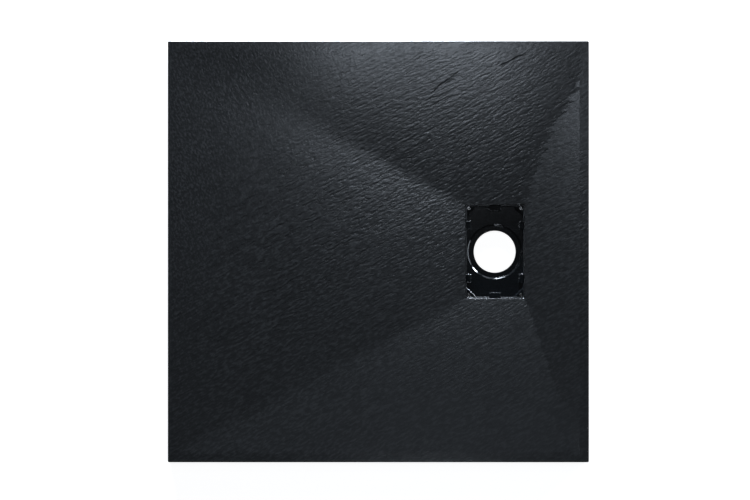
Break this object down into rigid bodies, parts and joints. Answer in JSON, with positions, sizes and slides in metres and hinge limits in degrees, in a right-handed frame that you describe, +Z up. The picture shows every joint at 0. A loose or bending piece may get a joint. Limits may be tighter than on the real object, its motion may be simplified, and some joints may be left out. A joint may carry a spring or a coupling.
{
  "type": "shower tray",
  "caption": "Square dark slate-textured stone-resin shower tray; its floor falls to an off-centre rectangular recess with a black drain pan and an open round waste hole.",
  "frame": {"origin": "centre of the tray's outline on its underside", "axes": "+Z up out of the floor, +X towards the side that the waste is near, +Y along the recess's long side"},
  "size_m": [0.9, 0.9, 0.04],
  "materials": {
    "stone_resin": "matt, cast",
    "slate_gelcoat": "matt to satin, slate relief",
    "black_gloss_plastic": "gloss",
    "seal_rubber": "matt",
    "screw_steel": "satin",
    "brass": "satin"
  },
  "bodies": {
    "root": {"stone_core": "stone_resin", "gelcoat_skin": "slate_gelcoat", "drain_pan": "black_gloss_plastic", "perimeter_seal": "seal_rubber", "seat_gasket": "seal_rubber", "corner_screws": "screw_steel", "screw_washers": "seal_rubber", "screw_inserts": "brass"}
  },
  "joints": []
}
